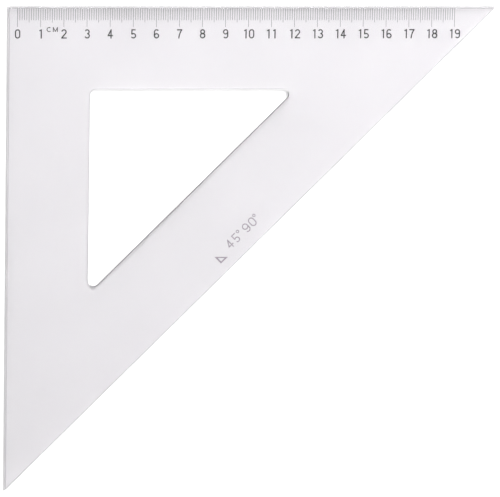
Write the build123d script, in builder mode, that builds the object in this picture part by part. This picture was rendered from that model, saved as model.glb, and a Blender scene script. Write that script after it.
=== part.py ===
"""A clear 45 degree set square, 300 mm along its hypotenuse, with a printed scale.

The frame: the underside lies on XY, +Z is up through the sheet, the graduated edge
runs along +X at the top (+Y) side, and the origin is the middle of the hypotenuse.
Lengths are in millimetres and angles in degrees.
"""

import os
from math import cos, radians, sin, sqrt

from build123d import *

# The moulded sheet
hypotenuse = 300.0
thickness = 2.0
band_width = 35.8        # from each outer edge to the cutout, the same on all three sides
ledge_width = 0.7        # the inking ledge along the two legs
ledge_height = 1.0       # from the underside to the ledge
tip_radius = 0.1         # the three outer corners
cutout_radius = 2.5      # the three corners of the cutout

leg = hypotenuse / sqrt(2)
corner_x = -leg / 2      # the right-angle corner
corner_y = leg / 2
cutout_leg = leg - band_width * (2 + sqrt(2))

# The scale, stamped flush into the underside
ink_depth = 0.04
line_width = 0.13
scale_length_cm = 19
zero_inset = 4.25        # from the right-angle corner to the zero line
scale_inset = 0.95       # from the graduated edge to the start of the lines
millimetre_line = 5.0
half_centimetre_line = 6.0
centimetre_line = 8.0
numeral_inset = 11.9     # from the graduated edge to the middle of the numerals
numeral_shift = 0.1      # how far each numeral is right of its line

# The lettering
numeral_height = 4.0
numeral_width = 2.3
numeral_pen = 0.5
numeral_pitch = 2.6
letter_height = 2.1
letter_width = 2.1
letter_pen = 0.33
letter_pitch = 2.7

# The angle mark beside the hypotenuse: a small set square, then the two angles
mark_height = 4.2
mark_width = 2.8
mark_pen = 0.45
mark_pitch = 3.7
mark_inset = 7.6         # from the hypotenuse to the middle of the mark
mark_shift = 0.3         # from the middle of the hypotenuse, along it
mark_start = -12.1       # from the middle of the mark to the small set square's side
angle_places = (-2.9, 7.1)   # from the middle of the mark to the middle of each angle
degree_radius = 0.55
degree_shift = 4.3       # from the middle of an angle's number to its degree ring

zero_x = corner_x + zero_inset
scale_y = corner_y - scale_inset
numeral_y = corner_y - numeral_inset


# Each character is a sketch about its own middle, drawn with a pen of one width.
# "reach" is from the middle to the pen's centre line at the side, "rise" at the top.


def ring(radius, pen):
    """A circle drawn with the pen, added to the open sketch."""
    Circle(radius + pen / 2)
    Circle(radius - pen / 2, mode=Mode.SUBTRACT)


def stroke(points, pen):
    """A straight-sided stroke through the points."""
    with BuildLine() as path:
        Polyline(*points)
    trace(path.line, line_width=pen)


def arc_stroke(centre, radius, start, size, pen):
    """A round stroke from the start angle, through the size of its turn."""
    with BuildLine() as path:
        CenterArc(centre, radius, start, size)
    trace(path.line, line_width=pen)


def draw_zero(reach, rise, pen):
    with BuildSketch() as shape:
        SlotCenterToCenter(2 * (rise - reach), 2 * reach + pen, rotation=90)
        SlotCenterToCenter(2 * (rise - reach), 2 * reach - pen, rotation=90, mode=Mode.SUBTRACT)
    return shape.sketch


def draw_one(reach, rise, pen):
    stem_x = 0.2 * reach
    with BuildSketch() as shape:
        with Locations((stem_x, 0)):
            Rectangle(pen, 2 * rise + pen)
        stroke([(stem_x, rise - 0.1 * pen), (-0.75 * reach, rise - 0.45 * reach)], 0.85 * pen)
    return shape.sketch


def draw_two(reach, rise, pen):
    turn_end = -35
    bowl_y = rise - reach
    bowl_end = (reach * cos(radians(turn_end)), bowl_y + reach * sin(radians(turn_end)))
    with BuildSketch() as shape:
        arc_stroke((0, bowl_y), reach, 170, turn_end - 170, pen)
        stroke([bowl_end, (-reach, -rise + pen / 4)], pen)
        with Locations((0, -rise)):
            Rectangle(2 * reach + pen, pen)
    return shape.sketch


def draw_three(reach, rise, pen):
    upper = 0.47 * rise
    lower = rise - upper
    with BuildSketch() as shape:
        arc_stroke((0, rise - upper), upper, 160, -250, pen)
        arc_stroke((0, lower - rise), lower, 90, -250, pen)
    return shape.sketch


def draw_four(reach, rise, pen):
    stem_x = 0.35 * reach
    bar_y = -0.42 * rise
    with BuildSketch() as shape:
        with Locations((stem_x, 0)):
            Rectangle(pen, 2 * rise + pen)
        with Locations((0, bar_y)):
            Rectangle(2 * reach + pen, pen)
        stroke([(stem_x, rise), (-reach, bar_y)], pen)
    return shape.sketch


def draw_five(reach, rise, pen):
    bowl = 0.53 * rise
    turn_start = 140
    knee = (bowl * cos(radians(turn_start)), bowl - rise + bowl * sin(radians(turn_start)))
    with BuildSketch() as shape:
        stroke([(reach, rise), (-0.7 * reach, rise), knee], pen)
        arc_stroke((0, bowl - rise), bowl, turn_start, -290, pen)
    return shape.sketch


def draw_six(reach, rise, pen):
    bowl_y = reach - rise
    with BuildSketch() as shape:
        with Locations((0, bowl_y)):
            ring(reach, pen)
        stroke([(-reach, bowl_y), (-reach, rise - reach)], pen)
        arc_stroke((0, rise - reach), reach, 180, -145, pen)
    return shape.sketch


def draw_seven(reach, rise, pen):
    with BuildSketch() as shape:
        with Locations((0, rise)):
            Rectangle(2 * reach + pen, pen)
        with BuildLine() as leg_path:
            ThreePointArc((reach, rise), (0.12 * reach, 0.05 * rise), (-0.35 * reach, -rise - pen / 2))
        trace(leg_path.line, line_width=pen)
    return shape.sketch


def draw_eight(reach, rise, pen):
    upper = 0.46 * rise
    lower = rise - upper
    with BuildSketch() as shape:
        with Locations((0, rise - upper)):
            ring(upper, pen)
        with Locations((0, lower - rise)):
            ring(lower, pen)
    return shape.sketch


def draw_nine(reach, rise, pen):
    with BuildSketch() as shape:
        add(draw_six(reach, rise, pen), rotation=180)
    return shape.sketch


def draw_c(reach, rise, pen):
    with BuildSketch() as shape:
        arc_stroke((0, 0), rise, 48, 264, pen)
    return shape.sketch


def draw_m(reach, rise, pen):
    with BuildSketch() as shape:
        with GridLocations(2 * reach, 0, 2, 1):
            Rectangle(pen, 2 * rise + pen)
        stroke([(-reach, rise), (0, -rise)], pen)
        stroke([(0, -rise), (reach, rise)], pen)
    return shape.sketch


characters = {
    "0": draw_zero,
    "1": draw_one,
    "2": draw_two,
    "3": draw_three,
    "4": draw_four,
    "5": draw_five,
    "6": draw_six,
    "7": draw_seven,
    "8": draw_eight,
    "9": draw_nine,
    "C": draw_c,
    "M": draw_m,
}


def write_word(word, height, width, pen, pitch):
    """The word's characters side by side, centred on the origin."""
    with BuildSketch() as line:
        for place, character in enumerate(word):
            shape = characters[character]((width - pen) / 2, (height - pen) / 2, pen)
            with Locations(((place - (len(word) - 1) / 2) * pitch, 0)):
                add(shape)
    return line.sketch


def set_square(inset, side, radius):
    """A right-angled triangle with rounded corners, its right angle inset from the sheet's."""
    x = corner_x + inset
    y = corner_y - inset
    with BuildSketch() as triangle:
        with BuildLine():
            Polyline((x, y), (x + side, y), (x, y - side), close=True)
        make_face()
        fillet(triangle.vertices(), radius=radius)
    return triangle.sketch


def save(piece, name):
    """Labels a finished piece and writes it to its own file."""
    piece.part.label = name
    export_step(piece.part, f"parts/{name}.step")


def scale_lines(marks, length):
    """The scale's lines at the given millimetre marks, as thin pieces of ink."""
    with BuildPart() as lines:
        with BuildSketch(Plane.XY):
            with Locations(*[(zero_x + mark, scale_y) for mark in marks]):
                Rectangle(line_width, length, align=(Align.CENTER, Align.MAX))
        extrude(amount=ink_depth)
    return lines


os.makedirs("parts", exist_ok=True)
ink = []

# The lines of the scale, by length
all_marks = range(scale_length_cm * 10 + 1)
line_groups = {
    "centimetre_ticks": ([m for m in all_marks if m % 10 == 0], centimetre_line),
    "half_centimetre_ticks": ([m for m in all_marks if m % 10 == 5], half_centimetre_line),
    "millimetre_ticks": ([m for m in all_marks if m % 5 != 0], millimetre_line),
}
for name, (marks, length) in line_groups.items():
    ticks = scale_lines(marks, length)
    save(ticks, name)
    ink.append(ticks)

# The numerals, one piece for each centimetre
for centimetre in range(scale_length_cm + 1):
    word = write_word(str(centimetre), numeral_height, numeral_width, numeral_pen, numeral_pitch)
    with BuildPart() as numeral:
        with BuildSketch(Plane.XY):
            with Locations((zero_x + 10 * centimetre + numeral_shift, numeral_y)):
                add(word)
        extrude(amount=ink_depth)
    save(numeral, f"numeral_{centimetre:02d}")
    ink.append(numeral)

# The unit, between 1 and 2, its feet level with the shoulders of the numerals
unit_y = scale_y - centimetre_line - letter_height / 2
with BuildPart() as unit_mark:
    with BuildSketch(Plane.XY):
        with Locations((zero_x + 15, unit_y)):
            add(write_word("CM", letter_height, letter_width, letter_pen, letter_pitch))
    extrude(amount=ink_depth)
save(unit_mark, "unit_mark")
ink.append(unit_mark)

# The angle mark, along the hypotenuse
mark_middle = Location(
    ((mark_shift - mark_inset) / sqrt(2), (mark_shift + mark_inset) / sqrt(2), 0), (0, 0, 45)
)
with BuildPart() as angle_mark:
    with BuildSketch(Plane.XY):
        with Locations(mark_middle * Location((mark_start, -mark_height / 2))):
            Triangle(c=mark_height, a=mark_height, B=90, align=None)
            Triangle(c=0.5 * mark_height, a=0.5 * mark_height, B=90, align=None, mode=Mode.SUBTRACT)
        for angle, place in zip(("45", "90"), angle_places):
            with Locations(mark_middle * Location((place, 0))):
                add(write_word(angle, mark_height, mark_width, mark_pen, mark_pitch))
            with Locations(mark_middle * Location((place + degree_shift, mark_height / 2 - degree_radius))):
                ring(degree_radius, 0.8 * mark_pen)
    extrude(amount=ink_depth)
save(angle_mark, "angle_mark")
ink.append(angle_mark)

# The sheet: a slab under a slab set back from the two legs, an open middle, and beds for the ink
with BuildPart() as clear_plate:
    with BuildSketch(Plane.XY):
        add(set_square(0, leg, tip_radius))
    extrude(amount=ledge_height)
    with BuildSketch(Plane.XY.offset(ledge_height)):
        add(set_square(ledge_width, leg - 2 * ledge_width, tip_radius))
    extrude(amount=thickness - ledge_height)
    with BuildSketch(Plane.XY):
        add(set_square(band_width, cutout_leg, cutout_radius))
    extrude(amount=thickness, mode=Mode.SUBTRACT)
    for piece in ink:
        add(piece.part, mode=Mode.SUBTRACT)
save(clear_plate, "clear_plate")
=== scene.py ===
"""A clear 45 degree set square with a printed centimetre scale, lying on a pale table.

The moulded sheet is modelled here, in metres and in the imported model's frame, with its
inking ledge, rounded corners and broken arrises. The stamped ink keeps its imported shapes
and gets its finish here.
"""

import logging
import sys
from dataclasses import dataclass, field
from enum import Enum
from math import cos, radians, sin, sqrt
from typing import Callable

import bmesh
import bpy
from mathutils import Euler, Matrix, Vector

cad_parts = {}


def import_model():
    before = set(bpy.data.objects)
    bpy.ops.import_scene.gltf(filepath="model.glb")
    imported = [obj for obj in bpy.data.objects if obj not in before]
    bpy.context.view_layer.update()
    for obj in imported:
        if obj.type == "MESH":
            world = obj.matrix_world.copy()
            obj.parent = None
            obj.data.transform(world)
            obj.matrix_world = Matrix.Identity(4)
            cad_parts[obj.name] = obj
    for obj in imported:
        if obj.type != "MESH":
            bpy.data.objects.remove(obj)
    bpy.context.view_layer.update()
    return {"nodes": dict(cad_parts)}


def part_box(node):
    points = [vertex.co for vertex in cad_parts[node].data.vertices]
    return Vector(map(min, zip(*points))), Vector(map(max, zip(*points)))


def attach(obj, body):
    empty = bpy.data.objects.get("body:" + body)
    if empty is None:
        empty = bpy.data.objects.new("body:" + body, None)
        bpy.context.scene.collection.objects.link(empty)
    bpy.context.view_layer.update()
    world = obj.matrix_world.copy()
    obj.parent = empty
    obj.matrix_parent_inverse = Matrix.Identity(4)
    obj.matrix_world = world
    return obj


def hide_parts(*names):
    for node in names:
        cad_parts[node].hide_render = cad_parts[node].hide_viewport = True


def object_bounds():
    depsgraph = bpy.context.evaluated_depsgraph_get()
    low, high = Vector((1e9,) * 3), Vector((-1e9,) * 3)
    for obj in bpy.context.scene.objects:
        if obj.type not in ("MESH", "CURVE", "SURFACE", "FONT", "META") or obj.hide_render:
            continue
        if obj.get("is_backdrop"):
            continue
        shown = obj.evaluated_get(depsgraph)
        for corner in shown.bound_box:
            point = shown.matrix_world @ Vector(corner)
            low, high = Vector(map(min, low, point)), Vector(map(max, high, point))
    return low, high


LOG = logging.getLogger("set_square")
MM = 0.001
BODY = "root"

ON_CUT = 1e-7        # a point nearer to a cutting plane than this is on it, in metres
LEVEL = 0.9          # a level face's normal has more than this along Z, up or down
UPRIGHT = 0.5        # an upright face's normal has less than this along Z, up or down
FACING = 0.3         # towards the right angle, a normal's Y is more than this above its X
NOISE_MIDDLE = 0.5   # the value that a noise texture varies about
NOISE_LOW = 0.3      # most of its values lie above this
NOISE_HIGH = 0.7     # and below this

Colour = tuple[float, float, float]
Value = float | Colour | bpy.types.NodeSocket


class Node(Enum):
    """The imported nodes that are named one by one."""

    PLATE = "clear_plate"
    ANGLE_MARK = "angle_mark"


class Slot(Enum):
    """The record's material slots."""

    CLEAR = "clear_plastic"
    BLACK = "black_ink"
    GREY = "grey_ink"


class Kind(Enum):
    """The kinds of value that a shader group takes in or gives out."""

    FLOAT = "NodeSocketFloat"
    VECTOR = "NodeSocketVector"


class Element(Enum):
    """What an edit-mode selection is made of."""

    VERTEX = "VERT"
    FACE = "FACE"


# Shader nodes


@dataclass
class Wiring:
    """Short ways to add and join the nodes of one tree.

    Args:
        tree: the node tree that the nodes go into.
    """

    tree: bpy.types.NodeTree

    def add(
        self, kind: str, links: dict[str | int, Value] | None = None, **settings: object
    ) -> bpy.types.Node:
        """Adds a node.

        Args:
            kind: the node's type, without its ShaderNode prefix.
            links: what each input holds or is fed by.
            settings: the node's own settings.

        Returns:
            The new node.
        """
        node = self.tree.nodes.new("ShaderNode" + kind)
        for name, value in settings.items():
            setattr(node, name, value)
        for name, value in (links or {}).items():
            self.feed(node.inputs[name], value)
        return node

    def feed(self, socket: bpy.types.NodeSocket, value: Value) -> None:
        """Links a socket to another, or sets it where the value is plain."""
        if isinstance(value, bpy.types.NodeSocket):
            self.tree.links.new(value, socket)
        elif socket.type == "RGBA":
            socket.default_value = (*value, 1.0)
        else:
            socket.default_value = value

    def maths(self, operation: str, *values: Value) -> bpy.types.NodeSocket:
        """A Math node's result.

        Args:
            operation: the node's operation.
            values: its inputs in order.

        Returns:
            The node's output.
        """
        return self.add("Math", dict(enumerate(values)), operation=operation).outputs[0]

    def spread(self, value: Value, low: Value, high: Value, start: Value, end: Value) -> bpy.types.NodeSocket:
        """A smooth, clamped step from one value to another.

        Args:
            value: what drives the step.
            low: the driving value at which the step starts.
            high: the driving value at which it ends.
            start: the result up to low.
            end: the result from high on.

        Returns:
            The node's output.
        """
        links = {"Value": value, "From Min": low, "From Max": high, "To Min": start, "To Max": end}
        return self.add("MapRange", links, interpolation_type="SMOOTHSTEP").outputs["Result"]

    def blend(self, share: Value, first: Value, second: Value) -> bpy.types.NodeSocket:
        """A colour between two colours.

        Args:
            share: 0 for the first colour and 1 for the second.
            first: the first colour.
            second: the second colour.

        Returns:
            The mixed colour.
        """
        node = self.add("Mix", data_type="RGBA")
        for place, value in ((0, share), (6, first), (7, second)):
            self.feed(node.inputs[place], value)
        return node.outputs[2]

    def noise(
        self, vector: Value, scale: Value, detail: float, roughness: float = 0.5
    ) -> bpy.types.NodeSocket:
        """A noise texture's value.

        Args:
            vector: the coordinates it reads.
            scale: its features to the metre.
            detail: its octaves.
            roughness: how strong the finer octaves are.

        Returns:
            The texture's factor, about 0.5 on average.
        """
        links = {"Vector": vector, "Scale": scale, "Detail": detail, "Roughness": roughness}
        return self.add("TexNoise", links).outputs[0]


@dataclass
class ShaderGroup:
    """A named shader node group, built once and placed in each material that uses it.

    Args:
        name: the group's name.
        takes: its inputs, each with its kind and the value it holds when nothing is set.
    """

    name: str
    takes: dict[str, tuple[Kind, float | None]]
    tree: bpy.types.ShaderNodeTree = field(init=False)
    wiring: Wiring = field(init=False)
    inside: bpy.types.Node = field(init=False)

    def __post_init__(self) -> None:
        """Makes the tree, its inputs and its first node."""
        self.tree = bpy.data.node_groups.new(self.name, "ShaderNodeTree")
        self.wiring = Wiring(self.tree)
        for name, (kind, value) in self.takes.items():
            socket = self.tree.interface.new_socket(name, in_out="INPUT", socket_type=kind.value)
            if value is not None:
                socket.default_value = value
        self.inside = self.tree.nodes.new("NodeGroupInput")

    def gives(self, results: dict[str, bpy.types.NodeSocket]) -> "ShaderGroup":
        """Adds the outputs, all of them masks, and closes the group."""
        for name in results:
            self.tree.interface.new_socket(name, in_out="OUTPUT", socket_type=Kind.FLOAT.value)
        end = self.tree.nodes.new("NodeGroupOutput")
        for name, value in results.items():
            self.tree.links.new(value, end.inputs[name])
        return self

    def placed(self, wiring: Wiring, links: dict[str, Value]) -> bpy.types.Node:
        """Places the group in a material's tree.

        Args:
            wiring: the material's wiring.
            links: what each input of the group holds or is fed by.

        Returns:
            The group node.
        """
        node = wiring.tree.nodes.new("ShaderNodeGroup")
        node.node_tree = self.tree
        for name, value in links.items():
            wiring.feed(node.inputs[name], value)
        return node


def make_mottle() -> ShaderGroup:
    """Soft uneven patches, for haze, shade and the density of a print.

    Returns:
        A group that gives Patches, from 0 to 1.
    """
    takes = {"Vector": (Kind.VECTOR, None), "Scale": (Kind.FLOAT, 40.0), "Contrast": (Kind.FLOAT, 0.2)}
    group = ShaderGroup("mottle", takes)
    wiring, given = group.wiring, group.inside.outputs
    noise = wiring.noise(given["Vector"], given["Scale"], detail=4.0, roughness=0.55)
    low = wiring.maths("SUBTRACT", NOISE_MIDDLE, given["Contrast"])
    high = wiring.maths("ADD", NOISE_MIDDLE, given["Contrast"])
    return group.gives({"Patches": wiring.spread(noise, low, high, 0.0, 1.0)})


def make_hairlines() -> ShaderGroup:
    """Fine scratches in three directions, each the level line of a stretched noise.

    Returns:
        A group that gives Lines, 1 in the middle of a scratch and 0 beside it.
    """
    takes = {"Vector": (Kind.VECTOR, None), "Scale": (Kind.FLOAT, 300.0), "Width": (Kind.FLOAT, 0.01)}
    group = ShaderGroup("hairlines", takes)
    wiring, given = group.wiring, group.inside.outputs
    lines = None
    for turn, stretch, shift in ((17.0, 0.04, 0.0), (74.0, 0.06, 3.0), (131.0, 0.03, 7.0)):
        turned = wiring.add(
            "Mapping",
            {
                "Vector": given["Vector"],
                "Location": (shift, shift, shift),
                "Rotation": (0.0, 0.0, radians(turn)),
                "Scale": (stretch, 1.0, 1.0),
            },
        )
        noise = wiring.noise(turned.outputs[0], given["Scale"], detail=2.0)
        off_level = wiring.maths("ABSOLUTE", wiring.maths("SUBTRACT", noise, NOISE_MIDDLE))
        line = wiring.spread(off_level, 0.0, given["Width"], 1.0, 0.0)
        lines = line if lines is None else wiring.maths("MAXIMUM", lines, line)
    gap_scale = wiring.maths("MULTIPLY", given["Scale"], 0.3)
    gaps = wiring.noise(given["Vector"], gap_scale, detail=2.0)
    shown = wiring.spread(gaps, low=0.52, high=0.62, start=0.0, end=1.0)
    return group.gives({"Lines": wiring.maths("MULTIPLY", lines, shown)})


def make_specks() -> ShaderGroup:
    """Small round specks in random places, for dust and for pinholes in a print.

    Returns:
        A group that gives Specks, 1 on a speck and 0 between them.
    """
    takes = {"Vector": (Kind.VECTOR, None), "Scale": (Kind.FLOAT, 500.0), "Size": (Kind.FLOAT, 0.1)}
    empty = 0.6      # the share of the cells that have no speck
    core = 0.6       # the share of a speck's radius that is solid
    group = ShaderGroup("specks", takes)
    wiring, given = group.wiring, group.inside.outputs
    cells = wiring.add("TexVoronoi", {"Vector": given["Vector"], "Scale": given["Scale"]})
    chance = wiring.add("SeparateColor", {"Color": cells.outputs["Color"]}).outputs[0]
    size = wiring.maths("MULTIPLY", given["Size"], wiring.spread(chance, empty, 1.0, 0.0, 1.0))
    specks = wiring.spread(cells.outputs["Distance"], wiring.maths("MULTIPLY", size, core), size, 1.0, 0.0)
    some = wiring.maths("GREATER_THAN", chance, empty)
    return group.gives({"Specks": wiring.maths("MULTIPLY", specks, some)})


@dataclass
class Effects:
    """The shader groups that the finishes share."""

    mottle: ShaderGroup = field(default_factory=make_mottle)
    hairlines: ShaderGroup = field(default_factory=make_hairlines)
    specks: ShaderGroup = field(default_factory=make_specks)


@dataclass(frozen=True)
class Finish:
    """What all finishes have in common.

    Args:
        name: the material's name.
        colour: its base colour.
    """

    name: str
    colour: Colour

    def begin(self) -> tuple[bpy.types.Material, Wiring, bpy.types.Node, bpy.types.NodeSocket]:
        """Makes the material with its main shader.

        Returns:
            The material, its wiring, its Principled node and its object coordinates.
        """
        material = bpy.data.materials.new(self.name)
        material.use_nodes = True
        wiring = Wiring(material.node_tree)
        shader = wiring.tree.nodes["Principled BSDF"]
        place = wiring.add("TexCoord").outputs["Object"]
        return material, wiring, shader, place

    def shade(self, factor: float) -> Colour:
        """The finish's colour, made darker or lighter by the factor."""
        return tuple(min(1.0, channel * factor) for channel in self.colour)


@dataclass(frozen=True)
class ClearPlastic(Finish):
    """Clear moulded plastic with a faint tint, handled but not worn.

    Args:
        ior: its refractive index.
        polish: its roughness where nothing has touched it.
        haze: its roughness where it has been handled most.
        scratch_depth: how deep the hairlines are.
        ripple: how high the moulding ripples are.
        patch_scale: the handled patches to the metre.
        scratch_scale: the hairlines' noise to the metre.
        dust_scale: the dust's cells to the metre.
        ripple_scale: the ripples to the metre.
        mark_roughness: what a hairline or a speck of dust adds to the roughness.
        handled_shade: what handling leaves of the colour.
    """

    ior: float = 1.49
    polish: float = 0.015
    haze: float = 0.06
    scratch_depth: float = 0.002 * MM
    ripple: float = 0.004 * MM
    patch_scale: float = 22.0
    scratch_scale: float = 260.0
    dust_scale: float = 180.0
    ripple_scale: float = 45.0
    mark_roughness: float = 0.12
    handled_shade: float = 0.985

    def make(self, effects: Effects) -> bpy.types.Material:
        """Builds the material.

        Args:
            effects: the shared shader groups.

        Returns:
            The new material.
        """
        material, wiring, shader, place = self.begin()
        links = {"Vector": place, "Scale": self.patch_scale, "Contrast": 0.2}
        handled = effects.mottle.placed(wiring, links).outputs[0]
        links = {"Vector": place, "Scale": self.scratch_scale, "Width": 0.006}
        lines = effects.hairlines.placed(wiring, links).outputs[0]
        links = {"Vector": place, "Scale": self.dust_scale, "Size": 0.03}
        dust = effects.specks.placed(wiring, links).outputs[0]
        tint = wiring.blend(handled, self.colour, self.shade(self.handled_shade))
        wiring.feed(shader.inputs["Base Color"], tint)
        rubbed = wiring.spread(handled, 0.0, 1.0, self.polish, self.haze)
        marks = wiring.maths("MAXIMUM", lines, dust)
        rough = wiring.maths("ADD", rubbed, wiring.maths("MULTIPLY", marks, self.mark_roughness))
        wiring.feed(shader.inputs["Roughness"], rough)
        wave = wiring.noise(place, self.ripple_scale, detail=1.0)
        ripples = wiring.add("Bump", {"Height": wave, "Distance": self.ripple, "Strength": 1.0})
        links = {"Height": lines, "Distance": self.scratch_depth, "Strength": 1.0}
        cuts = wiring.add("Bump", links | {"Normal": ripples.outputs[0]}, invert=True)
        wiring.feed(shader.inputs["Normal"], cuts.outputs[0])
        shader.inputs["IOR"].default_value = self.ior
        shader.inputs["Transmission Weight"].default_value = 1.0
        return material


@dataclass(frozen=True)
class ShadedMilledWall(Finish):
    """Plastic that a cutter has left frosted, with fine marks along its path, and painted dark grey as shade.

    Args:
        gloss: its specular level.
        matt: its lowest roughness.
        matt_range: how far the roughness rises from there, with the cutter's marks.
        mark_depth: how deep the cutter's marks are.
        mark_scale: the marks' noise to the metre of the wall's height.
        mark_stretch: the share of that scale that's left along the wall.
        patch_scale: the frosted patches to the metre.
        dust_scale: the dust's cells to the metre.
        frost_shade: the colour of the patches, as a multiple of its own.
        dust_shade: the colour of the dust, likewise.
    """

    gloss: float = 0.1
    matt: float = 0.5
    matt_range: float = 0.2
    mark_depth: float = 0.004 * MM
    mark_scale: float = 6000.0
    mark_stretch: float = 0.1
    patch_scale: float = 150.0
    dust_scale: float = 1500.0
    frost_shade: float = 1.3
    dust_shade: float = 1.8

    def make(self, effects: Effects) -> bpy.types.Material:
        """Builds the material.

        Args:
            effects: the shared shader groups.

        Returns:
            The new material.
        """
        material, wiring, shader, place = self.begin()
        links = {"Vector": place, "Scale": self.patch_scale, "Contrast": 0.2}
        patches = effects.mottle.placed(wiring, links).outputs[0]
        links = {"Vector": place, "Scale": self.dust_scale, "Size": 0.2}
        dust = effects.specks.placed(wiring, links).outputs[0]
        stretch = (self.mark_stretch, self.mark_stretch, 1.0)
        along = wiring.add("Mapping", {"Vector": place, "Scale": stretch}).outputs[0]
        marks = wiring.noise(along, self.mark_scale, detail=3.0, roughness=0.6)
        # The dark grey base colour is painted shade, for the walls that face the camera.
        frost = wiring.blend(patches, self.colour, self.shade(self.frost_shade))
        wiring.feed(shader.inputs["Base Color"], wiring.blend(dust, frost, self.shade(self.dust_shade)))
        rough = wiring.spread(marks, NOISE_LOW, NOISE_HIGH, self.matt, self.matt + self.matt_range)
        wiring.feed(shader.inputs["Roughness"], rough)
        links = {"Height": marks, "Distance": self.mark_depth, "Strength": 1.0}
        wiring.feed(shader.inputs["Normal"], wiring.add("Bump", links).outputs[0])
        shader.inputs["Specular IOR Level"].default_value = self.gloss
        return material


@dataclass(frozen=True)
class StampedInk(Finish):
    """Ink stamped into the sheet: matt, slightly uneven, with a few pinholes.

    Args:
        bare: the colour that shows in a pinhole.
        matt: its roughness.
        weave: how far the roughness varies.
        pinhole_size: the pinholes' size, as a share of their spacing.
        density_scale: the ink's uneven patches to the metre.
        pinhole_scale: the pinholes' cells to the metre.
        relief: how far the ink's face rises and falls.
        dark_shade: the colour of the darker patches, as a multiple of its own.
        light_shade: the colour of the lighter patches, likewise.
    """

    bare: Colour = (0.2, 0.19, 0.2)
    matt: float = 0.5
    weave: float = 0.15
    pinhole_size: float = 0.35
    density_scale: float = 900.0
    pinhole_scale: float = 4000.0
    relief: float = 0.003 * MM
    dark_shade: float = 0.85
    light_shade: float = 1.3

    def make(self, effects: Effects) -> bpy.types.Material:
        """Builds the material.

        Args:
            effects: the shared shader groups.

        Returns:
            The new material.
        """
        material, wiring, shader, place = self.begin()
        links = {"Vector": place, "Scale": self.density_scale, "Contrast": 0.25}
        density = effects.mottle.placed(wiring, links).outputs[0]
        links = {"Vector": place, "Scale": self.pinhole_scale, "Size": self.pinhole_size}
        holes = effects.specks.placed(wiring, links).outputs[0]
        layer = wiring.blend(density, self.shade(self.dark_shade), self.shade(self.light_shade))
        wiring.feed(shader.inputs["Base Color"], wiring.blend(holes, layer, self.bare))
        low, high = self.matt - self.weave, self.matt + self.weave
        wiring.feed(shader.inputs["Roughness"], wiring.spread(density, 0.0, 1.0, low, high))
        links = {"Height": density, "Distance": self.relief, "Strength": 1.0}
        wiring.feed(shader.inputs["Normal"], wiring.add("Bump", links).outputs[0])
        return material


@dataclass(frozen=True)
class TableTop(Finish):
    """A pale, matt table with a very fine grain.

    Args:
        patch_scale: the faint patches to the metre.
        grain_scale: the grain's noise to the metre.
        grain_depth: how deep the grain is.
        patch_shade: the colour of the patches, as a multiple of its own.
        smooth: its lowest roughness.
        rough: its highest roughness.
        gloss: its specular level.
    """

    patch_scale: float = 6.0
    grain_scale: float = 1500.0
    grain_depth: float = 0.02 * MM
    patch_shade: float = 0.985
    smooth: float = 0.75
    rough: float = 0.95
    gloss: float = 0.2

    def make(self, effects: Effects) -> bpy.types.Material:
        """Builds the material.

        Args:
            effects: the shared shader groups.

        Returns:
            The new material.
        """
        material, wiring, shader, place = self.begin()
        links = {"Vector": place, "Scale": self.patch_scale, "Contrast": 0.3}
        patches = effects.mottle.placed(wiring, links).outputs[0]
        grain = wiring.noise(place, self.grain_scale, detail=3.0)
        surface = wiring.blend(patches, self.colour, self.shade(self.patch_shade))
        wiring.feed(shader.inputs["Base Color"], surface)
        links = {"Height": grain, "Distance": self.grain_depth, "Strength": 0.5}
        wiring.feed(shader.inputs["Normal"], wiring.add("Bump", links).outputs[0])
        roughness = wiring.spread(grain, NOISE_LOW, NOISE_HIGH, self.smooth, self.rough)
        wiring.feed(shader.inputs["Roughness"], roughness)
        shader.inputs["Specular IOR Level"].default_value = self.gloss
        return material


# Modelling


@dataclass
class Workpiece:
    """A mesh that is modelled in edit mode, with its object at the origin.

    Args:
        name: the piece's name.
        piece: its object, which the first circle makes.
    """

    name: str
    piece: bpy.types.Object | None = None

    def circle(self, middle: Vector, radius: float, steps: int) -> None:
        """Adds a circle of edges, which is then all that is selected.

        Args:
            middle: the circle's middle.
            radius: its radius.
            steps: its edges.
        """
        if self.piece is None:
            for other in bpy.context.selected_objects:
                other.select_set(False)
            bpy.ops.mesh.primitive_circle_add(vertices=steps, radius=radius, fill_type="NOTHING")
            self.piece = bpy.context.active_object
            self.piece.name = self.name
            self.piece.data.name = self.name
            bpy.ops.object.mode_set(mode="EDIT")
            bpy.ops.mesh.select_all(action="SELECT")
            bpy.ops.transform.translate(value=middle)
        else:
            bpy.ops.mesh.select_all(action="DESELECT")
            bpy.ops.mesh.primitive_circle_add(
                vertices=steps, radius=radius, fill_type="NOTHING", location=middle
            )

    def select(self, element: Element, test: Callable[..., bool]) -> None:
        """Selects exactly the elements that pass a test.

        Args:
            element: what to select.
            test: takes a vertex or a face and says whether it's wanted.
        """
        bpy.ops.mesh.select_all(action="DESELECT")
        bpy.ops.mesh.select_mode(type=element.value)
        mesh = bmesh.from_edit_mesh(self.piece.data)
        parts = {Element.VERTEX: mesh.verts, Element.FACE: mesh.faces}[element]
        for part in [part for part in parts if test(part)]:
            part.select_set(True)
        bmesh.update_edit_mesh(self.piece.data)

    def done(self) -> bpy.types.Object:
        """Leaves edit mode with all faces pointing outwards.

        Returns:
            The finished object.
        """
        bpy.ops.mesh.select_all(action="SELECT")
        bpy.ops.mesh.normals_make_consistent(inside=False)
        bpy.ops.object.mode_set(mode="OBJECT")
        return self.piece


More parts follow.
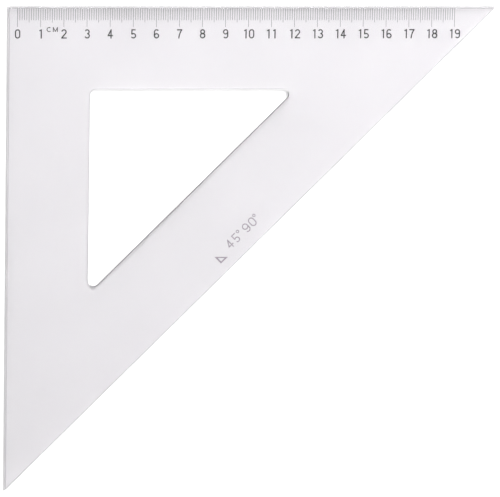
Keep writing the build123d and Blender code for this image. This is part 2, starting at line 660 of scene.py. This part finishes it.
@dataclass(frozen=True)
class Corner:
    """One rounded corner of an outline.

    Args:
        middle: the middle of its arc.
        start: the direction of the arc's first end, in degrees.
        turn: how far the arc turns, in degrees.
        radius: the arc's radius.
    """

    middle: Vector
    start: float
    turn: float
    radius: float

    def point(self, share: float) -> Vector:
        """A point on the arc, 0 at its first end and 1 at its last."""
        angle = radians(self.start + share * self.turn)
        return self.middle + self.radius * Vector((cos(angle), sin(angle), 0.0))


@dataclass(frozen=True)
class Outline:
    """A right-angled triangle with equal legs along +X and -Y and rounded corners.

    Args:
        square: the right-angle corner, before it's rounded.
        leg: the length of a leg, before the corners are rounded.
        radius: the corners' radius.
        steps: the edges in a full circle of that radius.
    """

    square: Vector
    leg: float
    radius: float
    steps: int = 96

    def corners(self) -> list[Corner]:
        """The three corners, anticlockwise from the right angle.

        Returns:
            The corners, each ending where the next one's straight side starts.
        """
        far = self.leg - self.radius * (1.0 + sqrt(2.0))
        near = self.radius
        places = (((near, -near), 90.0, 90.0), ((near, -far), 180.0, 135.0), ((far, -near), 315.0, 135.0))
        return [
            Corner(self.square + Vector((x, y, 0.0)), start, turn, self.radius)
            for (x, y), start, turn in places
        ]

    def draw(self, work: Workpiece) -> None:
        """Draws the outline as one closed loop of edges.

        Args:
            work: the workpiece that gets it.
        """
        slack = 0.001 * self.radius
        corners = self.corners()
        for corner in corners:
            work.circle(corner.middle, self.radius, self.steps)
            middle_of_arc = (corner.point(0.5) - corner.middle).normalized()
            reach = self.radius * cos(radians(corner.turn / 2.0)) - slack
            work.select(Element.VERTEX, lambda v: self.beyond(v.co, corner.middle, middle_of_arc, reach))
            bpy.ops.mesh.delete(type="VERT")
        for corner, following in zip(corners, corners[1:] + corners[:1]):
            ends = (corner.point(1.0), following.point(0.0))
            work.select(Element.VERTEX, lambda v: any((v.co - end).length < slack for end in ends))
            bpy.ops.mesh.edge_face_add()

    def beyond(self, place: Vector, middle: Vector, direction: Vector, reach: float) -> bool:
        """Whether a place is on a corner's circle but outside its arc."""
        from_middle = place - middle
        margin = 0.01 * self.radius
        on_circle = abs(from_middle.length - self.radius) < margin
        return on_circle and from_middle.dot(direction) < reach


@dataclass
class ClearPlate:
    """The moulded sheet: a triangle with an open middle and an inking ledge along its legs.

    Args:
        finish: the finish of its faces and its other walls.
        shaded_wall_finish: the finish of the ledge's walls and the cutout's long wall, which paints shade on
            them in dark grey.
        band: from each outer edge to the cutout.
        ledge_width: how far the upper face is set back from the legs.
        ledge_height: from the underside to the ledge.
        tip_radius: the radius of the outer corners.
        cutout_radius: the radius of the cutout's corners.
        arris: how much is broken off every sharp edge.
        lift: how far the underside is above the ink's, so that the print shows below.
    """

    finish: ClearPlastic
    shaded_wall_finish: ShadedMilledWall
    band: float = 35.8 * MM
    ledge_width: float = 0.7 * MM
    ledge_height: float = 1.0 * MM
    tip_radius: float = 0.1 * MM
    cutout_radius: float = 2.5 * MM
    arris: float = 0.03 * MM
    lift: float = 0.005 * MM

    def build(self) -> bpy.types.Object:
        """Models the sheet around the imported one.

        Returns:
            The finished piece.
        """
        low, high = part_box(Node.PLATE.value)
        square = Vector((low.x, high.y, low.z + self.lift))
        leg = -2.0 * low.x
        cutout_square = square + Vector((self.band, -self.band, 0.0))
        cutout_leg = leg - self.band * (2.0 + sqrt(2.0))
        work = Workpiece("plate")
        Outline(square, leg, self.tip_radius).draw(work)
        Outline(cutout_square, cutout_leg, self.cutout_radius).draw(work)
        bpy.ops.mesh.select_all(action="SELECT")
        bpy.ops.mesh.bridge_edge_loops()
        self.raise_faces(work, square, low.z + self.ledge_height, high.z)
        piece = work.done()
        self.break_arrises(piece)
        return piece

    def raise_faces(self, work: Workpiece, square: Vector, ledge: float, top: float) -> None:
        """Gives the flat outline its thickness, lower along the two legs.

        Args:
            work: the sheet, still flat.
            square: its right-angle corner.
            ledge: the height of the ledge.
            top: the height of the upper face.
        """
        for outward in (Vector((0.0, 1.0, 0.0)), Vector((-1.0, 0.0, 0.0))):
            bpy.ops.mesh.select_all(action="SELECT")
            edge = square - self.ledge_width * outward
            bpy.ops.mesh.bisect(plane_co=edge, plane_no=outward, threshold=ON_CUT)
        bpy.ops.mesh.select_all(action="SELECT")
        bpy.ops.mesh.extrude_region_move(TRANSFORM_OT_translate={"value": (0.0, 0.0, ledge - square.z)})
        work.select(Element.FACE, lambda face: self.behind_ledge(face, square, ledge))
        bpy.ops.mesh.extrude_region_move(TRANSFORM_OT_translate={"value": (0.0, 0.0, top - ledge)})

    def behind_ledge(self, face: bmesh.types.BMFace, square: Vector, ledge: float) -> bool:
        """Whether a face is level, as high as the ledge, and further in than it."""
        middle = face.calc_center_median()
        level = abs(face.normal.z) > LEVEL and abs(middle.z - ledge) < self.arris
        return level and middle.x > square.x + self.ledge_width and middle.y < square.y - self.ledge_width

    def break_arrises(self, piece: bpy.types.Object) -> None:
        """Rounds every sharp edge by a hair and smooths the arcs.

        Args:
            piece: the sheet.
        """
        bevel = piece.modifiers.new("arrises", "BEVEL")
        bevel.width = self.arris
        bevel.segments = 3
        bevel.limit_method = "ANGLE"
        bevel.angle_limit = radians(30.0)
        bevel.use_clamp_overlap = False
        bpy.ops.object.modifier_apply(modifier=bevel.name)
        bpy.ops.object.shade_smooth_by_angle(angle=radians(10.0))

    def dress(self, piece: bpy.types.Object, effects: Effects) -> None:
        """Gives the sheet its finish and its place in the model.

        Args:
            piece: the sheet.
            effects: the shared shader groups.
        """
        piece.data.materials.clear()
        piece.data.materials.append(self.finish.make(effects))
        piece.data.materials.append(self.shaded_wall_finish.make(effects))
        low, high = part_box(Node.PLATE.value)
        for face in piece.data.polygons:
            face.material_index = int(self.is_milled_and_shaded(face, low, high))
        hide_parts(Node.PLATE.value)
        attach(piece, BODY)

    def is_milled_and_shaded(self, face: bpy.types.MeshPolygon, low: Vector, high: Vector) -> bool:
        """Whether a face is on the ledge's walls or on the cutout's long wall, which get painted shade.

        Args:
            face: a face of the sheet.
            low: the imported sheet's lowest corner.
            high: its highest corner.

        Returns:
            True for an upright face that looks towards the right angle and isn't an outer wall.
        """
        x, y, _ = face.center
        outer = min(x - low.x, high.y - y) < 0.5 * self.ledge_width
        towards_square = face.normal.y - face.normal.x > FACING
        # These walls face the camera's side and get the dark grey painted shade.
        return abs(face.normal.z) < UPRIGHT and towards_square and not outer


@dataclass
class Print:
    """The stamped scale, numerals and marks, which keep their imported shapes.

    Args:
        black: the finish of the scale.
        grey: the finish of the mark beside the hypotenuse.
    """

    black: StampedInk
    grey: StampedInk

    def dress(self, nodes: dict[str, bpy.types.Object], effects: Effects) -> list[str]:
        """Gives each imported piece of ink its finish.

        Args:
            nodes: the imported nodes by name.
            effects: the shared shader groups.

        Returns:
            The names of the pieces of ink.
        """
        black, grey = self.black.make(effects), self.grey.make(effects)
        names = [name for name in sorted(nodes) if name != Node.PLATE.value]
        for name in names:
            ink = grey if name == Node.ANGLE_MARK.value else black
            for slot in nodes[name].material_slots:
                slot.material = ink
        return names


@dataclass
class Softbox:
    """A large soft lamp that points at a place on the table.

    Args:
        name: the lamp's name.
        place: the middle of its face.
        aim: what it points at.
        width: the length of its sides.
        power: its power in watts.
        colour: its colour.
    """

    name: str
    place: Vector
    aim: Vector
    width: float
    power: float
    colour: Colour

    def build(self) -> None:
        """Hangs the lamp."""
        lamp = bpy.data.lights.new(self.name, "AREA")
        lamp.shape = "SQUARE"
        lamp.size = self.width
        lamp.energy = self.power
        lamp.color = self.colour
        holder = bpy.data.objects.new(self.name, lamp)
        holder.location = self.place
        holder.rotation_euler = (self.aim - self.place).to_track_quat("-Z", "Y").to_euler()
        bpy.context.scene.collection.objects.link(holder)


@dataclass
class Studio:
    """The table, the light and the camera, which aren't part of the object.

    Args:
        top: the table's finish.
        table_radius: how far the table reaches.
        gap: how far the table is below the sheet.
        sky: the colour of the light from all round.
        overhead: how strong it is straight up.
        horizon: how strong it is at the horizon, where it meets the table's far edge.
        full_height: how far up it is at full strength, from 0 at the horizon to 1 overhead.
        lamps: the softboxes.
        camera_place: the camera's place from the object's origin.
        camera_turn: its turn about X, Y and Z in degrees.
        lens: its focal length in millimetres, for the sensor below.
        sensor: the width of its sensor in millimetres.
    """

    top: TableTop
    lamps: list[Softbox]
    table_radius: float = 25.0
    gap: float = 0.1 * MM
    sky: Colour = (1.0, 1.0, 1.0)
    overhead: float = 1.02
    horizon: float = 0.8
    full_height: float = 0.6
    camera_place: Vector = field(default_factory=lambda: Vector((-302.07, 398.02, 2349.22)) * MM)
    camera_turn: tuple[float, float, float] = (-9.6513, -7.1873, 0.8969)
    lens: float = 397.8
    sensor: float = 36.0

    def build(self, effects: Effects) -> None:
        """Sets up everything around the object.

        Args:
            effects: the shared shader groups.
        """
        self.lay_table(effects)
        self.light()
        self.set_camera()

    def lay_table(self, effects: Effects) -> None:
        """Lays the table just under the sheet.

        Args:
            effects: the shared shader groups.
        """
        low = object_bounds()[0]
        for other in bpy.context.selected_objects:
            other.select_set(False)
        bpy.ops.mesh.primitive_circle_add(vertices=64, radius=self.table_radius, fill_type="NGON")
        table = bpy.context.active_object
        table.name = "table"
        bpy.ops.object.mode_set(mode="EDIT")
        bpy.ops.mesh.select_all(action="SELECT")
        bpy.ops.transform.translate(value=(0.0, 0.0, low.z - self.gap))
        bpy.ops.object.mode_set(mode="OBJECT")
        table.data.materials.append(self.top.make(effects))
        table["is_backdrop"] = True

    def light(self) -> None:
        """Hangs the lamps and lights the room evenly, a little less near the horizon."""
        for lamp in self.lamps:
            lamp.build()
        world = bpy.data.worlds.new("studio")
        world.use_nodes = True
        bpy.context.scene.world = world
        wiring = Wiring(world.node_tree)
        direction = wiring.add("TexCoord").outputs["Generated"]
        height = wiring.add("SeparateXYZ", {0: direction}).outputs["Z"]
        room = wiring.tree.nodes["Background"]
        room.inputs["Color"].default_value = (*self.sky, 1.0)
        strength = wiring.spread(height, 0.0, self.full_height, self.horizon, self.overhead)
        wiring.feed(room.inputs["Strength"], strength)
        bpy.context.scene.view_settings.view_transform = "Standard"

    def set_camera(self) -> None:
        """Hangs the camera over the sheet."""
        data = bpy.data.cameras.new("camera")
        data.lens = self.lens
        data.sensor_width = self.sensor
        data.clip_start = 0.1
        data.clip_end = 20.0
        camera = bpy.data.objects.new("camera", data)
        camera.location = self.camera_place
        camera.rotation_euler = Euler([radians(turn) for turn in self.camera_turn])
        bpy.context.scene.collection.objects.link(camera)
        bpy.context.scene.camera = camera


def main() -> None:
    """Builds the set square and the studio around it."""
    logging.basicConfig(level=logging.INFO, format="%(name)s: %(message)s", stream=sys.stdout)
    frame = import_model()
    effects = Effects()

    plate = ClearPlate(
        finish=ClearPlastic(Slot.CLEAR.value, (0.96, 0.948, 0.965)),
        # The walls' dark grey is painted shade.
        shaded_wall_finish=ShadedMilledWall("milled_plastic_painted_shade", (0.12, 0.113, 0.12)),
    )
    piece = plate.build()
    plate.dress(piece, effects)
    LOG.info("%s: %d faces", piece.name, len(piece.data.polygons))

    ink = Print(
        black=StampedInk(Slot.BLACK.value, (0.006, 0.0055, 0.007)),
        grey=StampedInk(Slot.GREY.value, (0.33, 0.29, 0.33), bare=(0.45, 0.42, 0.45)),
    )
    for name in ink.dress(frame["nodes"], effects):
        LOG.info("%s: stamped ink", name)

    key = Softbox(
        name="softbox",
        place=Vector((0.3, 0.72, 0.85)),
        aim=Vector((0.0, 0.0, 0.0)),
        width=0.85,
        power=19.5,
        colour=(1.0, 1.0, 1.0),
    )
    Studio(TableTop("table_top", (0.82, 0.82, 0.82)), [key]).build(effects)


if __name__ == "__main__":
    main()
